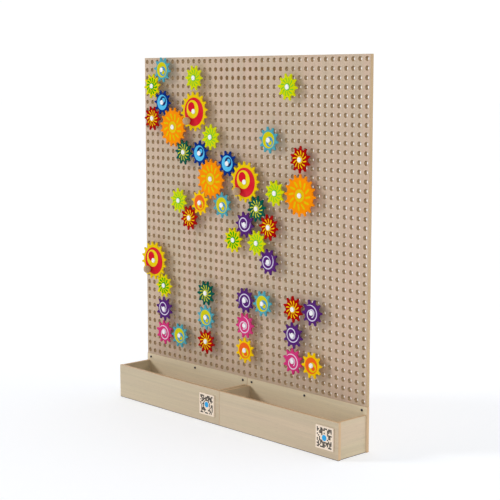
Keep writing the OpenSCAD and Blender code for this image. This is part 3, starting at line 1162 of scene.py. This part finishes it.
def batten_lining():
    """A pale strip on the hanging batten's front that glows, painted light so the holes before it look no
    darker than the rest.
    """
    shape = Shape()
    low, high = max(solids("rear_battens"), key=lambda box: box[0].z)
    outline = [(low.x, low.z), (high.x, low.z), (high.x, high.z), (low.x, high.z)]
    half_t = 0.05 * MM
    prism(shape, outline, low.y + half_t, low.y - half_t)
    stand_in(shape.build("batten_lining", [PAINTED_GLOW]), "wall_unit", None)


def bins():
    panels("bin_front_panels", "bin_fronts", 1, [BIN_FRONT_FACE, BIN_EDGE, FOOT_STRIP_PAINTED_SHADE])
    panels("bin_back_panels", "bin_backs", 1, [BIN_BACK_PAINTED_LIGHT_FACE, BIN_EDGE])
    panels("bin_side_panels", "bin_sides", 0, [BIN_SIDE_FACE, BIN_EDGE, FOOT_STRIP_PAINTED_SHADE])
    panels("bin_bottom_panels", "bin_bottoms", 2, [BIN_FRONT_FACE, BIN_EDGE])
    code_plaques()
    bin_screws()
    batten_screws()
    batten_lining()
    paint_cad_node("rear_battens", BATTEN_FACE)
    paint_cad_node("joining_dowels", DOWEL_WOOD)


# ---- Floor, light and camera ----

FLOOR_REACH = 60.0
FLOOR_GLOW = 0.42

# Strength of the surrounding light near the horizon and overhead
LOW_LIGHT, OVERHEAD = 1.02, 0.85
# Its factor in front of the board and elsewhere, and what the right side adds
FRONT_DIM, REST_LIGHT = 0.18, 1.0
RIGHT_BANK = 0.5

KEY_AZIMUTH, KEY_ELEVATION = -46, 24
KEY_SOFTNESS, KEY_STRENGTH = 16, 1.14

CAMERA_AZIMUTH, CAMERA_ELEVATION = 46.87, 7.74
CAMERA_LENS, CAMERA_SENSOR = 90.45, 36.0
CAMERA_RIGHT, CAMERA_FORWARD, CAMERA_UP = 3.438, 3.206, 1.131


def aim(made, azimuth, elevation):
    """Turns a lamp or camera to look back from this side. Azimuth 0 is the front and 90 is at +X."""
    a, e = math.radians(azimuth), math.radians(elevation)
    back = Vector((math.sin(a) * math.cos(e), -math.cos(a) * math.cos(e), math.sin(e)))
    made.rotation_mode = "QUATERNION"
    made.rotation_quaternion = (-back).to_track_quat("-Z", "Y")


def white_floor():
    """A wide white floor that glows a little, so that it stays nearly white in the shade."""
    mesh = bpy.data.meshes.new("floor")
    r = FLOOR_REACH
    mesh.from_pydata([(-r, -r, 0), (r, -r, 0), (r, r, 0), (-r, r, 0)], [], [(0, 1, 2, 3)])
    floor = add_object("floor", mesh)
    n = Surface("floor_white")
    n.set(Base_Color=srgb(213, 216, 221), Roughness=0.9, Specular_IOR_Level=0.0,
          Emission_Color=(1.0, 1.0, 1.0, 1.0), Emission_Strength=FLOOR_GLOW)
    mesh.materials.append(n.material)


def surroundings():
    """White light from all around: a little weaker overhead, dim in front, and stronger at the right."""
    world = bpy.data.worlds.new("soft_white")
    bpy.context.scene.world = world
    world.use_nodes = True
    n = Nodes(world.node_tree)
    direction = n.add("ShaderNodeTexCoord").outputs["Generated"]
    x, y, z = n.add("ShaderNodeSeparateXYZ", {0: direction}).outputs
    upward = n.range(z, 0.24, 0.45, LOW_LIGHT, OVERHEAD)
    forward = n.range(y, -0.8, 0.1, FRONT_DIM, REST_LIGHT)
    right = n.range(x, 0.2, 1.0, 0.0, RIGHT_BANK)
    strength = n.math("ADD", n.math("MULTIPLY", upward, forward), right)
    background = n.add("ShaderNodeBackground", {"Color": (1.0, 1.0, 1.0, 1.0), "Strength": strength})
    n.add("ShaderNodeOutputWorld", {"Surface": background.outputs[0]})


def key_light():
    """A soft sun from the front left."""
    data = bpy.data.lights.new("key", "SUN")
    data.energy = KEY_STRENGTH
    data.angle = math.radians(KEY_SOFTNESS)
    aim(add_object("key", data), KEY_AZIMUTH, KEY_ELEVATION)


def photo_camera():
    """The viewpoint: in front and to the right, just below the height of the board's top."""
    data = bpy.data.cameras.new("camera")
    data.sensor_width = CAMERA_SENSOR
    data.lens = CAMERA_LENS
    camera = add_object("camera", data)
    camera.location = (CAMERA_RIGHT, FACE_Y - CAMERA_FORWARD, BOARD_FOOT_Z + CAMERA_UP)
    aim(camera, CAMERA_AZIMUTH, CAMERA_ELEVATION)
    bpy.context.scene.camera = camera


photo_camera()
pegboard()
axle_pegs()
hub_caps()
gears()
for number in (1, 2, 3):
    crank_knob(number)
bins()
white_floor()
surroundings()
key_light()
bpy.context.scene.view_settings.view_transform = "Standard"
